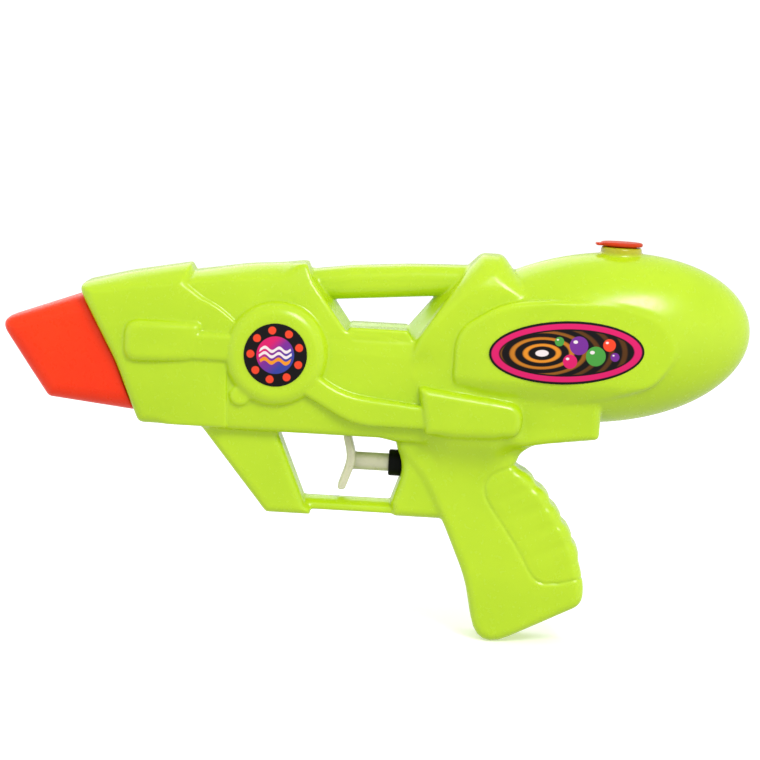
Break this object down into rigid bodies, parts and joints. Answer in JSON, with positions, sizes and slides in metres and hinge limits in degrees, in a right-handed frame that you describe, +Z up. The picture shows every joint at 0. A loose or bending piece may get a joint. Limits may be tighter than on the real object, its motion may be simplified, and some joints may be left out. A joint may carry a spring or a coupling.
{
  "type": "toy water squirter",
  "caption": "Pistol-shaped toy water squirter: hollow blow-moulded body with tank and grip, orange tip, sprung pump trigger and push-in filler plug.",
  "frame": {"origin": "centre of the whole toy's bounding box", "axes": "+X from the muzzle to the back of the tank, +Y across the toy, +Z up from the grip to the filler plug"},
  "size_m": [0.2794, 0.0466, 0.1524],
  "materials": {
    "body_lime": "slightly translucent glossy yellow-green polyethylene",
    "tip_orange": "glossy orange-red polyethylene",
    "natural_plastic": "uncoloured translucent plastic",
    "collar_black": "satin black plastic",
    "plug_orange": "soft satin orange stopper",
    "seal_rubber": "dark rubber",
    "spring_steel": "bright steel",
    "clear_hose": "clear soft hose",
    "round_sticker": null,
    "oval_sticker": null
  },
  "bodies": {
    "shell": {"body_shell": "body_lime", "muzzle_tip": "tip_orange", "nozzle_jet": "tip_orange", "front_grommet": "seal_rubber", "pump_collar": "collar_black", "pump_cylinder": "natural_plastic", "rod_seal": "seal_rubber", "return_spring": "spring_steel", "valve_block": "natural_plastic", "inlet_seat": "natural_plastic", "outlet_spring": "spring_steel", "outlet_cap": "natural_plastic", "delivery_tube": "clear_hose", "suction_tube": "clear_hose", "suction_strainer": "natural_plastic", "round_label_left": "round_sticker", "round_label_right": "round_sticker", "oval_label_left": "oval_sticker", "oval_label_right": "oval_sticker"},
    "trigger": {"trigger": "natural_plastic", "piston_seal": "seal_rubber"},
    "plug": {"filler_plug": "plug_orange"},
    "inlet_ball": {"inlet_ball": "spring_steel"},
    "outlet_ball": {"outlet_ball": "spring_steel"}
  },
  "joints": [
    {"name": "trigger_slide", "type": "slide", "parent": "shell", "child": "trigger", "axis": [1, 0, 0], "range_m": [0, 0.009], "stiffness_N_per_m": 350, "springref_m": -0.006, "deforming": ["return_spring"]},
    {"name": "plug_lift", "type": "slide", "parent": "shell", "child": "plug", "axis": [0, 0, 1], "range_m": [0, 0.025]},
    {"name": "inlet_ball_lift", "type": "slide", "parent": "shell", "child": "inlet_ball", "axis": [0, 0, 1], "range_m": [0, 0.0009]},
    {"name": "outlet_ball_lift", "type": "slide", "parent": "shell", "child": "outlet_ball", "axis": [0, 0, 1], "range_m": [0, 0.0009], "stiffness_N_per_m": 60, "springref_m": -0.002, "deforming": ["outlet_spring"]}
  ]
}
